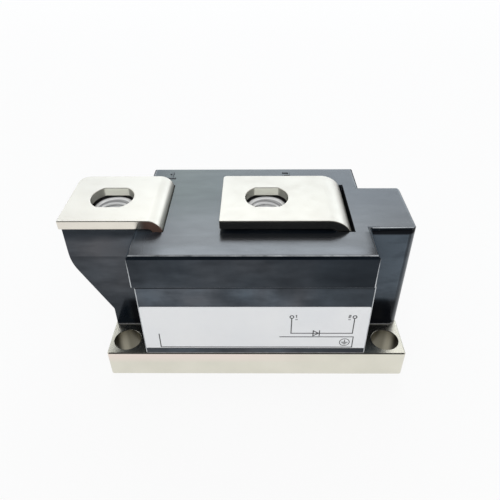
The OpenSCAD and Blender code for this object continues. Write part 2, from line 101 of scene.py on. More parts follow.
class Look:
    """Node tree of a material or of the world, with short calls for its nodes.

    A value is a number, a colour or the output of another node."""

    def __init__(self, owner, output):
        owner.use_nodes = True
        self.tree = owner.node_tree
        self.tree.nodes.clear()
        self.output = self.add(output)

    def add(self, kind):
        return self.tree.nodes.new(kind)

    def put(self, value, socket):
        """Sets a socket to a number or a colour, or links another node's output to it."""
        if isinstance(value, tuple):
            socket.default_value = (*value, 1)
        elif isinstance(value, (int, float)):
            socket.default_value = value
        else:
            self.tree.links.new(value, socket)

    def show(self, shader):
        self.put(shader, self.output.inputs["Surface"])

    def axes(self, kind):
        """X, Y and Z of a texture coordinate."""
        coordinate = self.add("ShaderNodeTexCoord")
        split = self.add("ShaderNodeSeparateXYZ")
        self.put(coordinate.outputs[kind], split.inputs["Vector"])
        return split.outputs["X"], split.outputs["Y"], split.outputs["Z"]

    @cached_property
    def place(self):
        """X, Y and Z on the part, in metres."""
        return self.axes("Object")

    @cached_property
    def facing(self):
        """X, Y and Z of the way that a face looks."""
        return self.axes("Normal")

    def calc(self, operation, *values):
        node = self.add("ShaderNodeMath")
        node.operation = operation
        for socket, value in zip(node.inputs, values):
            self.put(value, socket)
        return node.outputs["Value"]

    def size(self, value):
        """A value without its sign."""
        return self.calc("ABSOLUTE", value)

    def rest(self, mask):
        """All that a mask leaves out."""
        return self.calc("SUBTRACT", 1.0, mask)

    def product(self, first, *others):
        for other in others:
            first = self.calc("MULTIPLY", first, other)
        return first

    def largest(self, first, *others):
        for other in others:
            first = self.calc("MAXIMUM", first, other)
        return first

    def ranged(self, value, span, start, end, kind):
        node = self.add("ShaderNodeMapRange")
        node.interpolation_type = kind
        self.put(value, node.inputs["Value"])
        for name, number in zip(("From Min", "From Max", "To Min", "To Max"), (*span, start, end)):
            node.inputs[name].default_value = number
        return node.outputs["Result"]

    def ramp(self, value, span, start=0.0, end=1.0):
        """A smooth step from start to end while a value runs over a span."""
        return self.ranged(value, span, start, end, "SMOOTHSTEP")

    def over(self, place, span, start=0.0, end=1.0):
        """A smooth step along a place, with the span in millimetres."""
        return self.ramp(place, (span[0] * MM, span[1] * MM), start, end)

    def hump(self, value, spans):
        """Rises over the first two of four values and falls over the last two."""
        return self.product(self.ramp(value, spans[:2]), self.ramp(value, spans[2:], 1.0, 0.0))

    def hump_over(self, place, spans):
        """A hump along a place, with its four values in millimetres."""
        return self.hump(place, [value * MM for value in spans])

    def noise(self, patch, detail=PATCH_DETAIL, stretch=(1, 1, 1)):
        """Noise whose patches are about that wide, stretched along the axes."""
        coordinate = self.add("ShaderNodeTexCoord")
        mapping = self.add("ShaderNodeMapping")
        mapping.inputs["Scale"].default_value = [1 / share for share in stretch]
        field = self.add("ShaderNodeTexNoise")
        field.inputs["Scale"].default_value = 1 / (patch * MM)
        field.inputs["Detail"].default_value = detail
        self.put(coordinate.outputs["Object"], mapping.inputs["Vector"])
        self.put(mapping.outputs["Vector"], field.inputs["Vector"])
        return field.outputs["Fac"]

    def spread(self, field, low, high):
        """A number that runs from low to high over the middle of a noise."""
        return self.ranged(field, NOISE_SPAN, low, high, "LINEAR")

    def tint(self, field, dark, light):
        """A colour that runs between two colours over the middle of a noise."""
        node = self.add("ShaderNodeValToRGB")
        for element, position, colour in zip(node.color_ramp.elements, NOISE_SPAN, (dark, light)):
            element.position = position
            element.color = (*colour, 1)
        self.put(field, node.inputs["Fac"])
        return node.outputs["Color"]

    def blend(self, factor, first, second, kind="MIX"):
        """A mix of two colours, or of two numbers, by a factor."""
        node = self.add("ShaderNodeMix")
        colours = isinstance(second, (tuple, bpy.types.NodeSocketColor))
        node.data_type = "RGBA" if colours else "FLOAT"
        node.blend_type = kind
        sockets = {socket.name: socket for socket in node.inputs if socket.enabled}
        for name, value in (("Factor", factor), ("A", first), ("B", second)):
            self.put(value, sockets[name])
        return next(socket for socket in node.outputs if socket.enabled)

    def bump(self, field, depth, shader):
        """Gives a shader a bump of that depth."""
        node = self.add("ShaderNodeBump")
        node.inputs["Strength"].default_value = 1.0
        node.inputs["Distance"].default_value = depth * MM
        self.put(field, node.inputs["Height"])
        self.put(node.outputs["Normal"], shader.inputs["Normal"])

    def mix(self, factor, first, second):
        """A mix of two shaders by a factor."""
        node = self.add("ShaderNodeMixShader")
        for socket, value in zip(node.inputs, (factor, first, second)):
            self.put(value, socket)
        return node.outputs["Shader"]

    def by_ray(self, flags, seen, other):
        """Shows one shader to the rays that the flags name, and another one to all other rays."""
        path = self.add("ShaderNodeLightPath")
        return self.mix(self.largest(*[path.outputs[flag] for flag in flags]), other, seen)


# Housing: places where its finish changes, and parts of its faces' unit normals.
# A span gives where a mask starts and where it ends.
PARTING_Z = 37.5
UPPER_WALL_Z = (PARTING_Z, PARTING_Z + 0.1)
BLOCK_END_X = 35.6
ALONG_BLOCK_X = (-BLOCK_END_X, BLOCK_END_X)
PAST_BLOCK_X = (BLOCK_END_X, BLOCK_END_X + 0.2)
BLOCK_CORNER_X = (32.5, 32.7)
ARM_SIDE_Y = 13.0
BLOCK_SIDE_Y = 14.0
ROOF_NORMAL = (0.9, 0.99)
FRONT_NORMAL = (-0.96, -0.995)
WALL_NORMAL = (0.1, 0.02)

# Grey film on the walls and on the roof's left end. Its lack low on the arms and at the left arm's top is
# painted shade, and on the roof's left end it is painted light
FILM_COLOUR = (0.068, 0.087, 0.108)
FILM_WARM = (0.078, 0.078, 0.084)
WALL_FILM = 0.4
UPPER_FILM = 0.3
LEFT_ARM_X = (-55.0, -BLOCK_END_X)
LEFT_ARM_FILM = (0.5, 1.3)
RIGHT_ARM_FILM = 1.15
ARM_LOW_SHADE_Z = (16.0, 30.0)
ARM_BAND_Z = (38.3, 38.7)
ARM_BAND_FILM = (0.65, 1.25)
ARM_SHADED_TOP_Z = (43.0, 47.0)
CLEAN_X = (0.0, 30.0)
CLEAN_FILM = 0.22
CLEAN_GLOSS = 0.4
FILM_PATCH = 11.0
BLOCK_PATCHES = (0.25, 1.15)
ARM_PATCHES = (0.7, 1.05)
FILM_STREAKS = (0.75, 1.25)
COOL_PATCH = 17.0
COOL_DETAIL = 2.0
ARM_COOL = 0.75
ROOF_END_X = (-35.0, -25.0)
ROOF_END_PAINTED_LIGHT = 0.6

# Painted highlights: pale lines on the block's upright edges, and on the roof's front rim together with
# wear
UPRIGHT_HIGHLIGHT_COLOUR = (0.60, 0.62, 0.64)
UPRIGHT_HIGHLIGHT_PATCH = 3.0
UPRIGHT_HIGHLIGHT_PATCHES = (0.5, 1.0)
UPRIGHT_NORMAL = (0.04, 0.14)
RIM_COLOUR = (0.58, 0.61, 0.64)
RIM_PATCH = 4.0
RIM_PATCHES = (0.3, 1.0)
RIM_SHARE = (0.6, 1.0)
RIM_UP_NORMAL = (0.88, 0.94, 0.985, 0.998)
RIM_FRONT_NORMAL = (-0.05, -0.15)
RIM_Y = (-24.5, -24.0)
RIM_X = (33.5, 34.0)

# Edges at the roof's ends, without wear: their reflection is turned off and a painted grey stands in for
# it
END_FILM = 0.65
END_SIDE_NORMAL = (0.004, 0.02)
END_UP_NORMAL = (0.2, 0.3)
END_FRONT_NORMAL = (0.03, 0.1)

# Painted shade: dark marks below the parting line, under the right arm's edge, at the arms' feet, below
# the label
PAINTED_SHADE_COLOUR = (0.004, 0.004, 0.005)
SEAM_SHADOW_Z = (PARTING_Z - 1.0, PARTING_Z - 0.9, PARTING_Z, PARTING_Z + 0.02)
SEAM_SHADOW_DEPTH = (0.75, 0.25)
BROW_X = (0.0, BLOCK_END_X)
BROW_Z = (45.9, 46.7)
BROW_NORMAL = (0.3, 0.6)
BROW_DEPTH = 0.95
FOOT_X = (-41.5, -40.0)
FOOT_Z = (19.5, 22.0)
FOOT_NORMAL = (-0.9, -0.97)
FOOT_DEPTH = 0.75
BELOW_Z = (12.0, 12.6)
BELOW_DEPTH = 0.3

# Reflections of the roof and the walls, with streaky smears; the roof's reflection colour is painted by
# place
PLAIN_IOR = 1.5
PLAIN_SPECULAR = 0.5
WALL_IOR = 1.495
ROOF_IOR = 2.36
WALL_TINT = (0.76, 0.87, 1.0)
ROOF_FRONT_TINT = (0.93, 0.93, 0.94)
ROOF_REAR_TINT = (0.55, 0.61, 0.56)
ROOF_RIGHT_TINT = (0.575, 0.60, 0.63)
ROOF_FADE_Y = (-20.0, 12.0)
ROOF_DULL_Y = (-23.0, -18.0)
ROOF_ROUGH = (0.12, 0.25)
ROOF_END_SHADE = 0.3
GLOW_X = (-28.0, -20.0, -14.0, -4.0)
RIGHT_END_X = (29.5, 33.5)
RIGHT_END_SHADE = 0.35
SMEAR_FINE = 2.6
SMEAR_COARSE = 9.0
SMEAR_STRETCH = (3, 1, 1)
ROOF_SMEAR = 0.86
WALL_SMEAR = 0.6


class HousingAreas:
    """Masks of the housing that several parts of its finish share."""

    def __init__(self, look):
        x, y, z = look.place
        nx, ny, nz = look.facing
        self.roof = look.ramp(nz, ROOF_NORMAL)
        self.front = look.ramp(ny, FRONT_NORMAL)
        self.block = look.over(look.size(y), (ARM_SIDE_Y, BLOCK_SIDE_Y))
        self.arms = look.rest(self.block)
        self.rightward = look.over(x, ALONG_BLOCK_X)
        self.within_block = look.over(look.size(x), PAST_BLOCK_X, 1.0, 0.0)


def film_and_shade_share(look, areas):
    """How much film there is: patchy and streaky, thin on the upper walls and to the right, with painted
    shade low on the arms and at the left arm's top, and painted light on the roof's left end.
    """
    x, y, z = look.place
    nx, ny, nz = look.facing
    wall = look.ramp(look.size(nz), WALL_NORMAL, 0.0, WALL_FILM)
    # Painted shade: the left arm's top, under the left strip, loses its film
    left_arm = look.product(
        look.over(x, LEFT_ARM_X, *LEFT_ARM_FILM),
        look.over(z, ARM_BAND_Z, *ARM_BAND_FILM),
        look.over(z, ARM_SHADED_TOP_Z, 1.0, 0.0))
    # Painted shade: no film low on the arms
    on_arms = look.product(
        look.over(z, ARM_LOW_SHADE_Z),
        look.blend(areas.rightward, left_arm, RIGHT_ARM_FILM))
    on_block = look.over(z, UPPER_WALL_Z, 1.0, UPPER_FILM)
    patches = look.noise(FILM_PATCH)
    film = look.product(
        look.largest(areas.front, wall),
        look.blend(areas.arms, on_block, on_arms),
        look.blend(areas.arms, look.spread(patches, *BLOCK_PATCHES), look.spread(patches, *ARM_PATCHES)),
        look.spread(look.noise(SMEAR_FINE, SMEAR_DETAIL, SMEAR_STRETCH), *FILM_STREAKS),
        look.blend(areas.block, 1.0, look.over(x, CLEAN_X, 1.0, CLEAN_FILM)))
    # Painted light: film that lightens the dark reflection on the roof's left end
    roof_end = look.product(areas.roof, look.over(x, ROOF_END_X, 1.0, 0.0), ROOF_END_PAINTED_LIGHT)
    return look.largest(film, roof_end)


def film_colour(look, areas):
    """Cooler film in patches and to the right."""
    x, y, z = look.place
    patches = look.product(
        look.noise(COOL_PATCH, COOL_DETAIL),
        look.blend(areas.block, ARM_COOL, 1.0))
    return look.tint(look.largest(look.over(x, CLEAN_X), patches), FILM_WARM, FILM_COLOUR)


def upright_highlight(look, areas):
    """Painted highlight on the upright edges of the block, patchy."""
    x, y, z = look.place
    nx, ny, nz = look.facing
    return look.product(
        look.ramp(look.size(look.product(nx, ny)), UPRIGHT_NORMAL),
        look.over(look.size(x), BLOCK_CORNER_X),
        areas.within_block,
        look.spread(look.noise(UPRIGHT_HIGHLIGHT_PATCH), *UPRIGHT_HIGHLIGHT_PATCHES))


def rim_highlight_and_wear(look):
    """Painted highlight with patchy wear on the roof's front rim, more of it to the right."""
    x, y, z = look.place
    nx, ny, nz = look.facing
    return look.product(
        look.hump(nz, RIM_UP_NORMAL),
        look.ramp(ny, RIM_FRONT_NORMAL),
        look.spread(look.noise(RIM_PATCH), *RIM_PATCHES),
        look.over(x, ALONG_BLOCK_X, *RIM_SHARE),
        look.largest(look.over(y, RIM_Y, 1.0, 0.0), look.over(x, RIM_X)))


def roof_end_edges(look, areas):
    """The rounded edges at both ends of the block's roof."""
    nx, ny, nz = look.facing
    return look.product(
        look.ramp(look.size(nx), END_SIDE_NORMAL),
        look.ramp(nz, END_UP_NORMAL),
        look.ramp(look.size(ny), END_FRONT_NORMAL, 1.0, 0.0),
        areas.within_block)


def painted_shade_marks(look, areas):
    """Painted shade: places that look almost black in the photo."""
    x, y, z = look.place
    nx, ny, nz = look.facing
    seam_shadow = look.product(
        look.hump_over(z, SEAM_SHADOW_Z),
        areas.block,
        look.over(x, ALONG_BLOCK_X, *SEAM_SHADOW_DEPTH))
    brow_shadow = look.product(
        areas.arms,
        look.ramp(nz, BROW_NORMAL, 1.0, 0.0),
        look.over(z, BROW_Z),
        look.over(x, BROW_X, 0.0, BROW_DEPTH))
    foot_shade = look.product(
        areas.arms,
        look.ramp(ny, FOOT_NORMAL),
        look.over(z, FOOT_Z, FOOT_DEPTH, 0.0),
        look.over(x, FOOT_X))
    below = look.product(areas.block, areas.front, look.over(z, BELOW_Z, BELOW_DEPTH, 0.0))
    return look.largest(seam_shadow, brow_shadow, foot_shade, below)


def roof_tint(look, areas):
    """Painted reflection: the roof's reflection colour by place, dimmer to the rear and dark at both ends.
    """
    x, y, z = look.place
    front = look.blend(look.hump_over(x, GLOW_X), ROOF_FRONT_TINT, WHITE)
    rear = look.blend(areas.rightward, ROOF_REAR_TINT, ROOF_RIGHT_TINT)
    right_end = look.product(
        look.over(x, RIGHT_END_X),
        look.over(y, (-BLOCK_SIDE_Y, -ARM_SIDE_Y), 1.0, 0.0))
    kept = look.product(
        look.over(x, ROOF_END_X, ROOF_END_SHADE, 1.0),
        look.ramp(right_end, (0.0, 1.0), 1.0, RIGHT_END_SHADE))
    return look.blend(kept, BLACK, look.blend(look.over(y, ROOF_FADE_Y), front, rear))


def smears(look, areas):
    """How much of the reflection the smears leave, less of it on the walls."""
    fine = look.noise(SMEAR_FINE, SMEAR_DETAIL, SMEAR_STRETCH)
    coarse = look.noise(SMEAR_COARSE, PATCH_DETAIL, SMEAR_STRETCH)
    on_roof, on_walls = [
        look.product(look.spread(fine, low, 1.0), look.spread(coarse, low, 1.0))
        for low in (ROOF_SMEAR, WALL_SMEAR)]
    return look.blend(areas.roof, on_walls, on_roof)


def housing_change(look, shader, colour, gloss):
    """Shiny roof with a painted reflection, grey film with painted shade and light, pale edges of painted
    highlight and wear, painted shade marks and smeared reflections.
    """
    x, y, z = look.place
    areas = HousingAreas(look)
    ends = roof_end_edges(look, areas)
    dark = painted_shade_marks(look, areas)
    colour = look.blend(film_and_shade_share(look, areas), colour, film_colour(look, areas))
    # Painted highlight down the block's upright corners
    colour = look.blend(upright_highlight(look, areas), colour, UPRIGHT_HIGHLIGHT_COLOUR)
    # Painted highlight, partly wear, along the roof's front rim
    colour = look.blend(rim_highlight_and_wear(look), colour, RIM_COLOUR)
    # Painted grey in place of the end edges' reflection
    colour = look.blend(look.product(ends, END_FILM), colour, FILM_COLOUR)
    # Painted shade: the dark marks, whose reflection is also turned off below
    colour = look.blend(dark, colour, PAINTED_SHADE_COLOUR)
    gloss = look.blend(areas.roof, gloss, look.over(y, ROOF_DULL_Y, *ROOF_ROUGH))
    clean = look.product(
        look.over(z, UPPER_WALL_Z),
        areas.front,
        look.over(x, CLEAN_X, 0.0, CLEAN_GLOSS))
    dull = look.largest(dark, ends, clean)
    reflection = look.blend(areas.roof, WALL_TINT, roof_tint(look, areas))
    look.put(look.blend(areas.roof, WALL_IOR, ROOF_IOR), shader.inputs["IOR"])
    look.put(look.blend(dull, PLAIN_SPECULAR, 0.0), shader.inputs["Specular IOR Level"])
    look.put(look.blend(smears(look, areas), BLACK, reflection), shader.inputs["Specular Tint"])
    return colour, gloss


# Wear and painted highlight on the housing's other sharp edges, left out at the roof's ends
END_COLOUR = (0.02, 0.022, 0.025)
UNWORN_NORMAL = (0.1, 0.2)


def wear_change(look, shader, colour, gloss):
    """No pale wear or painted highlight along the ends of the roof."""
    nx, ny, nz = look.facing
    ends = look.product(look.ramp(look.size(nx), UNWORN_NORMAL), look.ramp(nz, UNWORN_NORMAL))
    return look.blend(ends, colour, END_COLOUR), gloss


# Terminal strips: sheared long sides, punched holes and ends, bare copper at the left strip's fold, with
# painted shade on the faces, in the holes and on the copper
STRIP_SIDE_Y = 12.5
LONG_SIDE_Y = (STRIP_SIDE_Y, STRIP_SIDE_Y + 0.2)
CUT_NORMAL = (0.3, 0.7)
FACE_SHADE = (0.935, 0.926, 0.913)
SECOND_SHADE = (0.83, 0.82, 0.803)
FOLD_NORMAL = (0.02, 0.25)
STRIP_REAR_SHADE = (1.0, 0.86)
SHEARED_ROUGH = 0.16
PUNCHED_METAL = 0.2
PUNCHED_ROUGH = 0.28
PUNCHED_COLOUR = (0.92, 0.92, 0.81)
PUNCHED_SHADE = (0.27, 0.27, 0.235)
TURNED_NORMAL = (0.15, 0.75)
BARE_X = (-35.0, -31.5)
BARE_END_X = -26.0
BARE_METAL = 0.6
COPPER_X = (-34.0, -30.0)
BARE_COPPER = (0.21, 0.13, 0.105)
BARE_SHADE = (0.09, 0.065, 0.055)


def strip_change(look, shader, colour, gloss):
    """Satin faces with painted shade to the rear, on the second strip and on the first strip's fold, shiny
    sheared sides, painted shade in the holes and bare copper with painted shade to its left.
    """
    x, y, z = look.place
    nx, ny, nz = look.facing
    level = look.size(nz)
    cut = look.ramp(level, CUT_NORMAL, 1.0, 0.0)
    long_side = look.over(look.size(y), LONG_SIDE_Y)
    sheared = look.product(cut, long_side)
    punched = look.product(cut, look.rest(long_side))
    bare = look.product(
        look.over(x, BARE_X),
        look.calc("LESS_THAN", x, BARE_END_X * MM),
        sheared)
    # Painted shade: flat faces dimmed, more on the second strip and the first strip's fold, and darker to
    # the rear
    second = look.largest(look.over(x, (BARE_END_X, 0.0)), look.ramp(nx, FOLD_NORMAL))
    face_shade = look.blend(second, FACE_SHADE, SECOND_SHADE)
    rear_shade = look.over(y, (-STRIP_SIDE_Y, STRIP_SIDE_Y), *STRIP_REAR_SHADE)
    colour = look.blend(level, colour, look.blend(rear_shade, BLACK, face_shade), "MULTIPLY")
    wall = look.blend(look.ramp(look.size(nx), TURNED_NORMAL), PUNCHED_COLOUR, PUNCHED_SHADE)
    colour = look.blend(punched, colour, wall)
    copper = look.blend(look.over(x, COPPER_X), BARE_SHADE, BARE_COPPER)
    colour = look.blend(bare, colour, copper)
    gloss = look.blend(sheared, gloss, SHEARED_ROUGH)
    gloss = look.blend(punched, gloss, PUNCHED_ROUGH)
    metal = look.blend(bare, look.blend(punched, 1.0, PUNCHED_METAL), BARE_METAL)
    look.put(metal, shader.inputs["Metallic"])
    return colour, gloss


# Base plate: milled sides, bright edges, drilled holes with painted light and shade, and a warm upper left
# of the front
PLATE_SIDE_NORMAL = (0.1, 0.2)
PLATE_SIDE_ROUGH = 0.34
PLATE_EDGE_NORMAL = (0.1, 0.25, 0.92, 0.99)
PLATE_EDGE_ROUGH = 0.12
PLATE_INNER = (46.5, 24.5)
WARM_NORMAL = (-0.5, -0.9)
WARM_Z = (5.0, 8.5)
WARM_X = (-10.0, 30.0)
WARM_COLOUR = (0.82, 0.725, 0.66)
DRILLED_LIT_COLOUR = (0.52, 0.49, 0.39)
DRILLED_SHADE = (0.045, 0.04, 0.025)
DRILLED_SHARE = 0.55
DRILLED_LIT_NORMAL = (-0.97, -0.78)
DRILLED_BRIGHT_NORMAL = (-0.9, -0.6, -0.6, -0.1)


def plate_change(look, shader, colour, gloss):
    """Rougher sides, bright edges, a warm part of the front and drilled holes with painted light and
    shade.
    """
    x, y, z = look.place
    nx, ny, nz = look.facing
    level = look.size(nz)
    gloss = look.blend(look.ramp(level, PLATE_SIDE_NORMAL), PLATE_SIDE_ROUGH, gloss)
    gloss = look.blend(look.hump(nz, PLATE_EDGE_NORMAL), gloss, PLATE_EDGE_ROUGH)
    warm = look.product(
        look.ramp(ny, WARM_NORMAL),
        look.over(z, WARM_Z),
        look.over(x, WARM_X, 1.0, 0.0))
    colour = look.blend(warm, colour, WARM_COLOUR)
    drilled = look.product(
        look.calc("LESS_THAN", look.size(x), PLATE_INNER[0] * MM),
        look.calc("LESS_THAN", look.size(y), PLATE_INNER[1] * MM),
        look.ramp(level, PLATE_SIDE_NORMAL, 1.0, 0.0))
    # Painted light and shade in the drilled holes: dark on the outer side, a lit streak beside it
    outward = look.product(nx, look.calc("SIGN", x))
    bright = look.hump(outward, DRILLED_BRIGHT_NORMAL)
    lit = look.product(
        look.ramp(outward, DRILLED_LIT_NORMAL),
        look.ramp(bright, (0.0, 1.0), DRILLED_SHARE, 1.0))
    return look.blend(drilled, colour, look.blend(lit, DRILLED_SHADE, DRILLED_LIT_COLOUR)), gloss


# Terminal nuts: distances from their axis, and the height of the uppermost thread, for painted shade under
# the strips and in that thread
NUT_NODES = ("terminal_nut_1", "terminal_nut_2")
COVERED_SHADE_R = (5.8, 6.2)
COVERED_SHADE_COLOUR = (0.02, 0.02, 0.022)
GROOVE_R = (4.45, 4.95, 4.95, 5.15)
GROOVE_Z = (45.6, 46.8)
GROOVE_SHADE_COLOUR = (0.42, 0.42, 0.43)


def nut_change(look, shader, colour, gloss):
    """Painted shade where the strips cover the nuts, and a grey ring of painted shade in the uppermost
    thread.
    """
    x, y, z = look.place
    reach = None
    for node in NUT_NODES:
        low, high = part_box(node)
        along = look.calc("SUBTRACT", x, (low.x + high.x) / 2)
        squares = look.calc("ADD", look.product(along, along), look.product(y, y))
        radius = look.calc("SQRT", squares)
        reach = radius if reach is None else look.calc("MINIMUM", reach, radius)
    groove_shade = look.product(look.hump_over(reach, GROOVE_R), look.over(z, GROOVE_Z))
    colour = look.blend(groove_shade, colour, GROOVE_SHADE_COLOUR)
    return look.blend(look.over(reach, COVERED_SHADE_R), colour, COVERED_SHADE_COLOUR), gloss


def finish(name, dark, light, rough, metallic=0.0, specular=PLAIN_SPECULAR, patch=12.0, smear=5.0,
           grain=0.5, depth=0.002, change=None):
    """A material with patches of colour, smears of gloss and a fine grain of that depth.

    A change gets the look, the shader, the colour and the gloss. It returns the colour and
    the gloss with its own masks in them."""
    made = bpy.data.materials.new(name)
    look = Look(made, "ShaderNodeOutputMaterial")
    shader = look.add("ShaderNodeBsdfPrincipled")
    shader.inputs["Metallic"].default_value = metallic
    shader.inputs["IOR"].default_value = PLAIN_IOR
    shader.inputs["Specular IOR Level"].default_value = specular
    colour = look.tint(look.noise(patch), dark, light)
    gloss = look.spread(look.noise(smear, SMEAR_DETAIL), *rough)
    if change is not None:
        colour, gloss = change(look, shader, colour, gloss)
    look.put(colour, shader.inputs["Base Color"])
    look.put(gloss, shader.inputs["Roughness"])
    look.bump(look.noise(grain, GRAIN_DETAIL), depth, shader)
    look.show(shader.outputs["BSDF"])
    return made


# Finish of each material slot: dark and light colour, span of the roughness, then what differs
SLOT_FINISHES = {
    "plated_copper": dict(
        dark=(0.71, 0.695, 0.605), light=(0.76, 0.74, 0.65), rough=(0.22, 0.3), metallic=1.0,
        patch=9.0, smear=7.0, grain=0.8, depth=0.0006, change=plate_change),
    "plated_terminal": dict(
        dark=(0.74, 0.70, 0.63), light=(0.78, 0.74, 0.665), rough=(0.34, 0.42), metallic=1.0,
        patch=8.0, smear=4.0, grain=0.25, depth=0.0008, change=strip_change),
    "housing_plastic": dict(
        dark=(0.002, 0.004, 0.007), light=(0.006, 0.009, 0.013), rough=(0.12, 0.17),
        patch=14.0, smear=9.0, grain=2.5, depth=0.0008, change=housing_change),
    "nut_steel": dict(
        dark=(0.90, 0.905, 0.91), light=(0.96, 0.965, 0.97), rough=(0.16, 0.26), metallic=0.1,
        patch=3.0, smear=2.0, grain=0.3, depth=0.0003, change=nut_change),
    "label_foil": dict(
        dark=(0.74, 0.755, 0.775), light=(0.78, 0.79, 0.80), rough=(0.42, 0.5),
        patch=16.0, smear=8.0, grain=0.4, depth=0.001),
    "seal": dict(
        dark=(0.14, 0.14, 0.145), light=(0.24, 0.24, 0.245), rough=(0.3, 0.45),
        patch=2.0, smear=2.0, grain=0.4, depth=0.02),
    "ceramic": dict(
        dark=(0.74, 0.71, 0.64), light=(0.80, 0.77, 0.70), rough=(0.4, 0.5),
        patch=5.0, grain=0.2),
    "molybdenum": dict(
        dark=(0.30, 0.31, 0.33), light=(0.38, 0.39, 0.41), rough=(0.25, 0.35), metallic=1.0,
        patch=4.0, grain=0.2, depth=0.001),
    "silicon": dict(
        dark=(0.10, 0.11, 0.15), light=(0.14, 0.15, 0.20), rough=(0.05, 0.1), metallic=1.0,
        patch=6.0, depth=0.0003),
    "ring_plastic": dict(
        dark=(0.30, 0.05, 0.03), light=(0.38, 0.07, 0.04), rough=(0.35, 0.5),
        patch=4.0, grain=0.3, depth=0.003),
    "pad_plastic": dict(
        dark=(0.55, 0.45, 0.28), light=(0.63, 0.53, 0.34), rough=(0.4, 0.55),
        patch=4.0, grain=0.3, depth=0.003),
    "spring_steel": dict(
        dark=(0.16, 0.17, 0.20), light=(0.24, 0.25, 0.28), rough=(0.25, 0.4), metallic=1.0,
        patch=4.0, grain=0.3),
    "clamp_steel": dict(
        dark=(0.36, 0.35, 0.33), light=(0.46, 0.45, 0.42), rough=(0.3, 0.45), metallic=1.0,
        patch=5.0, grain=0.3, depth=0.004),
    "screw_steel": dict(
        dark=(0.08, 0.08, 0.085), light=(0.14, 0.14, 0.145), rough=(0.3, 0.42), metallic=1.0,
        patch=2.0, grain=0.2),
    "sleeve_plastic": dict(
        dark=(0.50, 0.40, 0.26), light=(0.58, 0.47, 0.31), rough=(0.35, 0.5),
        patch=3.0, grain=0.3, depth=0.003),
    "potting_gel": dict(
        dark=(0.45, 0.52, 0.60), light=(0.52, 0.59, 0.67), rough=(0.08, 0.15),
        patch=8.0, grain=3.0, depth=0.01),
}
FINISHES = {slot: finish(slot, **settings) for slot, settings in SLOT_FINISHES.items()}
# Pale bevelled edges of the housing: wear with a painted highlight
EDGE_WEAR_AND_HIGHLIGHT = finish("edge_wear_and_highlight", (0.04, 0.044, 0.05), (0.16, 0.17, 0.185), (0.2, 0.3), specular=0.1,
                   patch=1.2, smear=1.5, grain=0.4, depth=0.004, change=wear_change)
INK = finish("ink", (0.02, 0.02, 0.023), (0.035, 0.035, 0.04), (0.5, 0.6),
             patch=0.6, smear=0.8, grain=0.15, depth=0.001)


def dress(piece, *materials):
    piece.data.materials.clear()
    for made in materials:
        piece.data.materials.append(made)


# Edge rounding of the visible solids
EDGE_ROUNDS = {
    "base_plate": 0.45,
    "housing": 0.11,
    "terminal_1": 0.25,
    "terminal_2": 0.25,
    "seal_frame": 0.05,
    "label": 0.02,
}
PALE_EDGE_NODE = "housing"
OWN_SLOT = -1
PALE_EDGE_SLOT = 1
ROUND_SEGMENTS = 3
SHARP_DEG = 50.0
FLAT_DEG = 0.5
MERGE_GAP = 0.0005
NORMAL_WEIGHT = 100


def soften(piece, width, edge_slot):
    """Rounds the sharp edges of a solid without touching its own mesh."""
    weld = piece.modifiers.new("weld", "WELD")
    weld.merge_threshold = MERGE_GAP * MM
    flat = piece.modifiers.new("flat", "DECIMATE")
    flat.decimate_type = "DISSOLVE"
    flat.angle_limit = math.radians(FLAT_DEG)
    bevel = piece.modifiers.new("edges", "BEVEL")
    bevel.width = width * MM
    bevel.segments = ROUND_SEGMENTS
    bevel.limit_method = "ANGLE"
    bevel.angle_limit = math.radians(SHARP_DEG)
    bevel.use_clamp_overlap = False
    bevel.loop_slide = False
    bevel.material = edge_slot
    shade = piece.modifiers.new("shade", "WEIGHTED_NORMAL")
    shade.mode = "FACE_AREA"
    shade.weight = NORMAL_WEIGHT
    shade.keep_sharp = True
    for polygon in piece.data.polygons:
        polygon.use_smooth = True


def dress_solids():
    """Gives each solid its slot's finish and rounds the edges of the visible ones."""
    for name, piece in nodes.items():
        slot = piece.data.materials[0].name.split(".")[0]
        pale_edged = name == PALE_EDGE_NODE
        if pale_edged:
            dress(piece, FINISHES[slot], EDGE_WEAR_AND_HIGHLIGHT)
        else:
            dress(piece, FINISHES[slot])
        if name in EDGE_ROUNDS:
            soften(piece, EDGE_ROUNDS[name], PALE_EDGE_SLOT if pale_edged else OWN_SLOT)


def as_piece(mesh, name, made):
    """Turns a finished mesh into a piece that rides on the body."""
    bmesh.ops.remove_doubles(mesh, verts=mesh.verts, dist=MERGE_GAP * MM)
    bmesh.ops.dissolve_degenerate(mesh, edges=mesh.edges, dist=MERGE_GAP * MM)
    bmesh.ops.recalc_face_normals(mesh, faces=mesh.faces)
    data = bpy.data.meshes.new(name)
    mesh.to_mesh(data)
    mesh.free()
    piece = bpy.data.objects.new(name, data)
    bpy.context.scene.collection.objects.link(piece)
    dress(piece, made)
    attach(piece, BODY)
    return piece


# Threads of the terminal nuts. The root's flat ends and the crest's flat starts at these shares of a
# pitch from the root's middle.
THREAD_D = 10.0
THREAD_CORE_D = 8.5
THREAD_PITCH = 1.5
THREAD_ROOT = 1 / 16
THREAD_CREST = 3 / 8
THREAD_STEPS = 16
COUNTERSINK_D = 10.8
NUT_SIDES = 96
HALF_SIDE = math.pi / 6
CHAMFER_SLOPE = math.tan(math.radians(30))
CHAMFER_STEPS = 6


def thread_radius(share):
    """Radius of an inside thread across one pitch, with flats at its root and its crest."""
    slope = (abs(share % 1 - 0.5) - THREAD_ROOT) / (THREAD_CREST - THREAD_ROOT)
    return THREAD_D / 2 - (THREAD_D - THREAD_CORE_D) / 2 * min(max(slope, 0), 1)


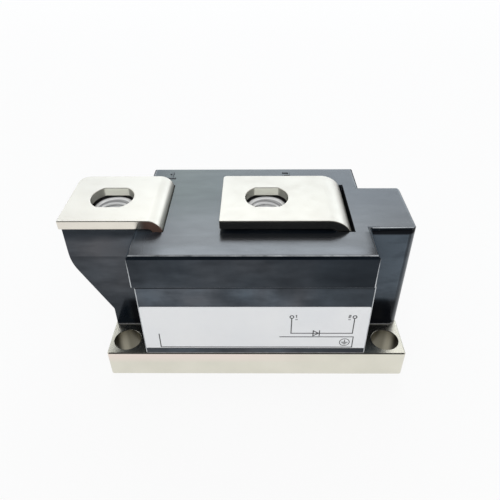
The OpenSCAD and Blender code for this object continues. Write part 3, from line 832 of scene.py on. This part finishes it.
def nut_rings(height, half_flats):
    """Rings of (radius, height) by turn, up the bore and down the outside of a nut."""
    corner = half_flats / math.cos(HALF_SIDE)
    chamfer_h = (corner - half_flats) * CHAMFER_SLOPE
    steps = math.ceil((height / THREAD_PITCH + 1) * THREAD_STEPS)

    def bore(step, turn):
        z = (step / THREAD_STEPS - 1 + turn) * THREAD_PITCH
        z = min(max(z, 0), height)
        sink = COUNTERSINK_D / 2 - min(z, height - z)
        return max(thread_radius(step / THREAD_STEPS), sink), z

    def outside(z, turn):
        angle = turn * 2 * math.pi
        side = (angle + HALF_SIDE) % (2 * HALF_SIDE) - HALF_SIDE
        hexagon = half_flats / math.cos(HALF_SIDE - abs(side))
        round_r = half_flats + min(z, height - z) / CHAMFER_SLOPE
        return min(hexagon, round_r), z

    rings = [lambda turn, s=s: bore(s, turn) for s in range(steps + THREAD_STEPS)]
    rises = [chamfer_h * i / CHAMFER_STEPS for i in range(CHAMFER_STEPS + 1)]
    levels = [height - rise for rise in rises] + rises[::-1]
    rings += [lambda turn, z=z: outside(z, turn) for z in levels]
    return rings


def threaded_nut(node):
    """A nut with a real thread in place of a solid's smooth bore."""
    low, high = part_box(node)
    middle = (low + high) / 2
    rings = nut_rings((high.z - low.z) / MM, (high.y - low.y) / 2 / MM)
    mesh = bmesh.new()
    loops = []
    for ring in rings:
        loop = []
        for i in range(NUT_SIDES):
            turn = i / NUT_SIDES
            radius, z = ring(turn)
            x = radius * math.cos(turn * 2 * math.pi)
            y = radius * math.sin(turn * 2 * math.pi)
            loop.append(mesh.verts.new((middle.x + x * MM, middle.y + y * MM, low.z + z * MM)))
        loops.append(loop)
    for loop, following in zip(loops, loops[1:] + loops[:1]):
        for i in range(NUT_SIDES):
            j = (i + 1) % NUT_SIDES
            mesh.faces.new((loop[i], loop[j], following[j], following[i]))
    piece = as_piece(mesh, node + "_threaded", FINISHES["nut_steel"])
    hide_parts(node)


# Print on the label: places are X and Z on the label's face
INK_T = 0.02
LINE_W = 0.3
FINE_W = 0.24
BORDER_W = 0.34
RING_SIDES = 32
SYMBOL_LEFT = 10.6
SYMBOL_RIGHT = 29.15
SYMBOL_Z = 18.85
PIN_Z = 25.7
PIN_R = 0.55
DIODE_X = 17.3
DIODE_L = 1.6
DIODE_H = 2.2
FRAME_LEFT = -29.45
FRAME_RIGHT = 29.6
FRAME_LOW = 12.75
FRAME_HIGH = 17.3
FRAME_TOP_LEFT = 7.3
FRAME_LEFT_TOP = 18.4

# Earth symbol: its stem, its bars and their step are shares of the circle's radius
EARTH_AT = (27.15, 14.95)
EARTH_R = 1.5
EARTH_STEM = 0.65
EARTH_BARS = (0.62, 0.4, 0.18)
EARTH_STEP = 0.27

# Terminal numbers: each one's middle, and a line below it
ONE_X = SYMBOL_LEFT + 1.4
TWO_X = SYMBOL_RIGHT - 1.5
MARK_H = 0.95
MARK_W = 0.5
MARK_LOW = PIN_Z - MARK_H / 4
MARK_DROP = 0.85


class Print:
    """Flat inked shapes on the front of the label."""

    def __init__(self, node):
        low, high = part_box(node)
        self.left, self.right, self.low = low.x / MM, high.x / MM, low.z / MM
        self.levels = (low.y, low.y - INK_T * MM)
        self.mesh = bmesh.new()

    def outlines(self, points):
        """Corners of an outline of (x, z), on the label and on top of the ink."""
        return [[self.mesh.verts.new((x * MM, y, z * MM)) for x, z in points] for y in self.levels]

    def band(self, first, second):
        """Faces between two loops of as many corners."""
        for i in range(len(first)):
            j = (i + 1) % len(first)
            self.mesh.faces.new((first[i], first[j], second[j], second[i]))

    def line(self, start, end, width=LINE_W):
        """A straight line between two points, with square ends."""
        way = Vector((end[0] - start[0], end[1] - start[1])).normalized() * width / 2
        side = Vector((-way.y, way.x))
        a = Vector(start) - way
        b = Vector(end) + way
        under, upper = self.outlines([a - side, b - side, b + side, a + side])
        self.band(under, upper)
        self.mesh.faces.new(under)
        self.mesh.faces.new(upper)

    def path(self, points, width=LINE_W):
        for start, end in zip(points, points[1:]):
            self.line(start, end, width)

    def ring(self, centre, radius, width=LINE_W):
        turns = [2 * math.pi * i / RING_SIDES for i in range(RING_SIDES)]
        outer, inner = [
            self.outlines([(centre[0] + r * math.cos(t), centre[1] + r * math.sin(t)) for t in turns])
            for r in (radius + width / 2, radius - width / 2)]
        self.band(*outer)
        self.band(*inner)
        for outer_loop, inner_loop in zip(outer, inner):
            self.band(outer_loop, inner_loop)


def print_circuit(ink):
    """Two pins, their leads and the diode between them."""
    low, high = SYMBOL_Z - DIODE_H / 2, SYMBOL_Z + DIODE_H / 2
    tip = DIODE_X + DIODE_L
    for x in (SYMBOL_LEFT, SYMBOL_RIGHT):
        ink.ring((x, PIN_Z), PIN_R)
        ink.line((x, PIN_Z - PIN_R), (x, SYMBOL_Z))
    ink.line((SYMBOL_LEFT, SYMBOL_Z), (SYMBOL_RIGHT, SYMBOL_Z))
    ink.path([(DIODE_X, low), (DIODE_X, high), (tip, SYMBOL_Z), (DIODE_X, low)])
    ink.line((tip + LINE_W, low), (tip + LINE_W, high))


def print_frame(ink):
    """Frame of the lower field, and a border along the label's lower edge."""
    ink.path([(FRAME_LEFT, FRAME_LEFT_TOP), (FRAME_LEFT, FRAME_LOW), (FRAME_RIGHT, FRAME_LOW),
              (FRAME_RIGHT, FRAME_HIGH), (FRAME_TOP_LEFT, FRAME_HIGH)])
    edge = ink.low + BORDER_W / 2
    ink.line((ink.left + BORDER_W, edge), (ink.right - BORDER_W, edge), BORDER_W)


def print_earth(ink):
    """Earth symbol in its circle."""
    x, z = EARTH_AT
    ink.ring(EARTH_AT, EARTH_R, FINE_W)
    ink.line((x, z + EARTH_R * EARTH_STEM), (x, z), FINE_W)
    for i, reach in enumerate(EARTH_BARS):
        level = z - i * EARTH_R * EARTH_STEP
        ink.line((x - EARTH_R * reach, level), (x + EARTH_R * reach, level), FINE_W)


def print_numbers(ink):
    """Terminal numbers 1 and 2 beside the pins, made of strokes and underlined."""
    low, high = MARK_LOW, MARK_LOW + MARK_H
    half = (low + high) / 2
    left, right = TWO_X - MARK_W / 2, TWO_X + MARK_W / 2
    ink.path([(ONE_X - MARK_W / 3, high - MARK_H / 4), (ONE_X, high), (ONE_X, low)], FINE_W)
    ink.path([(left, high), (right, high), (right, half), (left, half), (left, low), (right, low)], FINE_W)
    for middle in (ONE_X, TWO_X):
        ink.line((middle - MARK_W / 2, low - MARK_DROP), (middle + MARK_W / 2, low - MARK_DROP), FINE_W)


def print_label():
    ink = Print("label")
    print_circuit(ink)
    print_frame(ink)
    print_earth(ink)
    print_numbers(ink)
    as_piece(ink.mesh, "label_print", INK)


# Floor: white to the lens, with a share of the real shade, and a painted shade below the plate
FLOOR_HALF_M = 4.0
FLOOR_DROP = 0.05
FLOOR_COLOUR = (0.85, 0.85, 0.85)
FLOOR_SHADE = 0.13
UNDER_PLATE = (46.0, 24.0)
SHADED_UNDER_GLOW = 0.55
FRONT_FLOOR_M = (-0.32, -0.17)


def floor_material():
    """White to the lens and in mirrors, plain to other rays, with a painted shade below the plate. Mirrors
    see no glow far in front, a painted shade in their reflections.
    """
    made = bpy.data.materials.new("pale_floor")
    look = Look(made, "ShaderNodeOutputMaterial")
    x, y, z = look.place
    lit = look.add("ShaderNodeBsdfDiffuse")
    look.put(FLOOR_COLOUR, lit.inputs["Color"])
    glow = look.add("ShaderNodeEmission")
    look.put(WHITE, glow.inputs["Color"])
    beside = look.largest(
        look.calc("GREATER_THAN", look.size(x), UNDER_PLATE[0] * MM),
        look.calc("GREATER_THAN", look.size(y), UNDER_PLATE[1] * MM))
    path = look.add("ShaderNodeLightPath")
    near = look.largest(look.ramp(y, FRONT_FLOOR_M), path.outputs["Is Camera Ray"])
    look.put(look.product(near, look.largest(beside, SHADED_UNDER_GLOW)), glow.inputs["Strength"])
    seen = look.mix(FLOOR_SHADE, glow.outputs["Emission"], lit.outputs["BSDF"])
    flags = ("Is Camera Ray", "Is Glossy Ray", "Is Transmission Ray")
    look.show(look.by_ray(flags, seen, lit.outputs["BSDF"]))
    return made


def add_floor():
    h = FLOOR_HALF_M
    data = bpy.data.meshes.new("floor")
    z = -FLOOR_DROP * MM
    data.from_pydata([(-h, -h, z), (h, -h, z), (h, h, z), (-h, h, z)], [], [(0, 1, 2, 3)])
    floor = bpy.data.objects.new("floor", data)
    bpy.context.scene.collection.objects.link(floor)
    dress(floor, floor_material())


# Sky: its even level, and what mirrors see of it. Spans are shares of a unit direction along Y or Z.
SKY_SEEN = 1.0
SKY_LEVEL = 0.6
SKY_FRONT = 0.04
SKY_BACK = 0.5
SKY_TURN_Y = (-0.45, 0.1)
SKY_HIGH = 3.2
SKY_BAND_Z = (0.66, 0.70)
SKY_TOP_Z = (0.74, 0.86)


def add_world():
    """White to the lens, even light on matt surfaces, and a dim front and top for mirrors."""
    world = bpy.data.worlds.new("studio")
    bpy.context.scene.world = world
    look = Look(world, "ShaderNodeOutputWorld")
    x, y, z = look.axes("Generated")
    mirrored = look.product(
        look.ramp(y, SKY_TURN_Y, SKY_FRONT, SKY_BACK),
        look.ramp(z, SKY_BAND_Z, 1.0, SKY_HIGH),
        look.ramp(z, SKY_TOP_Z, 1.0, SKY_FRONT))
    shades = []
    for strength in (SKY_SEEN, mirrored, SKY_LEVEL):
        shade = look.add("ShaderNodeBackground")
        look.put(WHITE, shade.inputs["Color"])
        look.put(strength, shade.inputs["Strength"])
        shades.append(shade.outputs["Background"])
    seen, in_mirrors, even = shades
    inner = look.by_ray(("Is Glossy Ray", "Is Transmission Ray"), in_mirrors, even)
    look.show(look.by_ray(("Is Camera Ray",), seen, inner))


# Lamps: three soft boxes behind the part and a fill in front that mirrors don't show.
# A reach is a lamp's left, right, lower and upper angle as the part sees it.
LAMP_DISTANCE_M = 1.1
TO_REAR = 1
TO_FRONT = -1
BACK_COLOUR = (0.88, 0.99, 1.09)
BACK_RADIANCE = 1.64
BACK_REACH_DEG = (-42.0, 46.0, 2.0, 34.5)
UPPER_RADIANCE = 1.84
UPPER_REACH_DEG = (-15.5, 18.6, 34.5, 41.0)
UPPER_SIDE_RADIANCE = 1.0
UPPER_SIDE_REACH_DEG = (-19.0, -15.5, 34.5, 41.0)
FILL_RADIANCE = 1.6
FILL_REACH_DEG = (-36.0, 36.0, 18.0, 62.0)


def add_lamp(name, radiance, colour, reach_deg, heading, in_gloss):
    """A rectangular soft light that looks at the part's top."""
    left, right, low, high = [math.radians(angle) for angle in reach_deg]
    turn = (left + right) / 2
    rise = (low + high) / 2
    level = math.cos(rise)
    away = Vector((math.sin(turn) * level, heading * math.cos(turn) * level, math.sin(rise)))
    data = bpy.data.lights.new(name, "AREA")
    data.shape = "RECTANGLE"
    data.size = 2 * LAMP_DISTANCE_M * level * math.tan((right - left) / 2)
    data.size_y = 2 * LAMP_DISTANCE_M * math.tan((high - low) / 2)
    data.color = colour
    data.energy = radiance * math.pi * data.size * data.size_y
    lamp = bpy.data.objects.new(name, data)
    target = Vector(((cad_low.x + cad_high.x) / 2, (cad_low.y + cad_high.y) / 2, cad_high.z))
    lamp.location = target + away * LAMP_DISTANCE_M
    lamp.rotation_mode = "QUATERNION"
    lamp.rotation_quaternion = away.to_track_quat("Z", "Y")
    lamp.visible_camera = False
    lamp.visible_glossy = in_gloss
    bpy.context.scene.collection.objects.link(lamp)


add_camera()
dress_solids()
for nut_node in NUT_NODES:
    threaded_nut(nut_node)
print_label()
add_floor()
add_world()
add_lamp("back_wall", BACK_RADIANCE, BACK_COLOUR, BACK_REACH_DEG, TO_REAR, True)
add_lamp("upper_box", UPPER_RADIANCE, BACK_COLOUR, UPPER_REACH_DEG, TO_REAR, True)
add_lamp("upper_side", UPPER_SIDE_RADIANCE, BACK_COLOUR, UPPER_SIDE_REACH_DEG, TO_REAR, True)
add_lamp("front_fill", FILL_RADIANCE, WHITE, FILL_REACH_DEG, TO_FRONT, False)
bpy.context.scene.view_settings.view_transform = "Standard"
